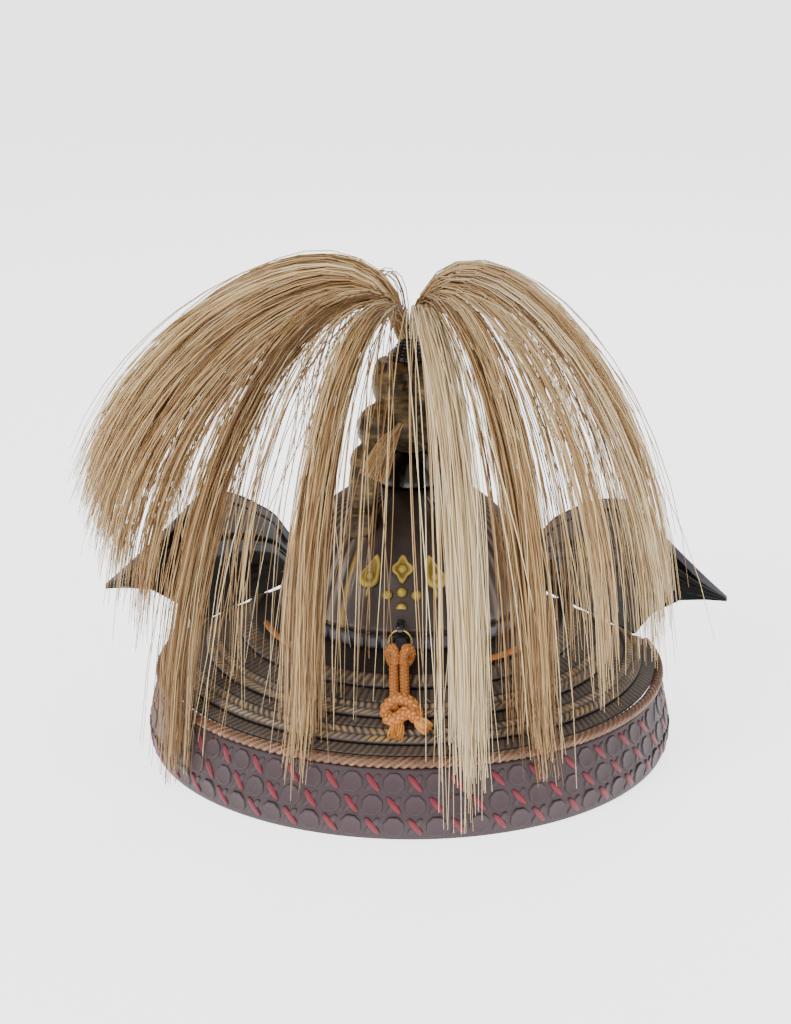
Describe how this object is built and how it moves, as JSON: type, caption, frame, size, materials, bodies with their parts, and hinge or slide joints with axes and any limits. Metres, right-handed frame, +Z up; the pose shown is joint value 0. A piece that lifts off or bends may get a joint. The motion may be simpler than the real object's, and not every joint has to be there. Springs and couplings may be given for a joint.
{
  "type": "kabuto samurai helmet",
  "caption": "Samurai helmet with a ribbed bowl, wide laced neck guard, deep rim, two side wings, cast crest and falling horsehair plume, standing on its rim.",
  "frame": {"origin": "on the ground under the middle of the helmet's overall box, at the level of the rim's flat foot", "axes": "+Z up, +Y the way the wearer faces, +X to the wearer's right, so wing_right is on the wearer's right"},
  "size_m": [0.516, 0.3644, 0.3963],
  "materials": {
    "lacquer": "dark brown-black moulded lacquer, dry-brushed",
    "lame": "dark brown moulded lames with dry-brushed lacing",
    "rope": "raised rope moulding, dry-brushed cream and copper",
    "rim": "mauve-brown moulded discs with crimson strokes",
    "wing": "glossy black with a satin grey edge",
    "black": "glossy black",
    "crest": "bronzed brown, rubbed on the high places",
    "hair": "natural tan horsehair",
    "cord": "braided orange cord",
    "brass": "polished brass wire",
    "relief": "olive-gold paint on raised relief"
  },
  "bodies": {
    "root": {"bowl": "lacquer", "waist_band": "lacquer", "visor": "lacquer", "neck_lame_1": "lame", "neck_lame_2": "lame", "neck_lame_3": "lame", "neck_lame_4": "lame", "border_rope": "rope", "rim_band": "rim", "wing_left": "wing", "wing_right": "wing", "crown_boss": "black", "crest_neck": "black", "ring_staple": "black", "crest_figure": "crest", "plume_left": "hair", "plume_right": "hair", "tail_tuft": "hair", "cord_hitch": "cord", "cord_leg_left": "cord", "cord_leg_right": "cord", "cord_knot": "cord", "tie_loop_left": "cord", "tie_loop_right": "cord", "ring": "brass", "rear_flower": "relief", "rear_leaf_left": "relief", "rear_leaf_right": "relief", "rear_stud_left": "relief", "rear_stud_middle": "relief", "rear_stud_right": "relief", "rear_stud_low": "relief"}
  },
  "joints": []
}
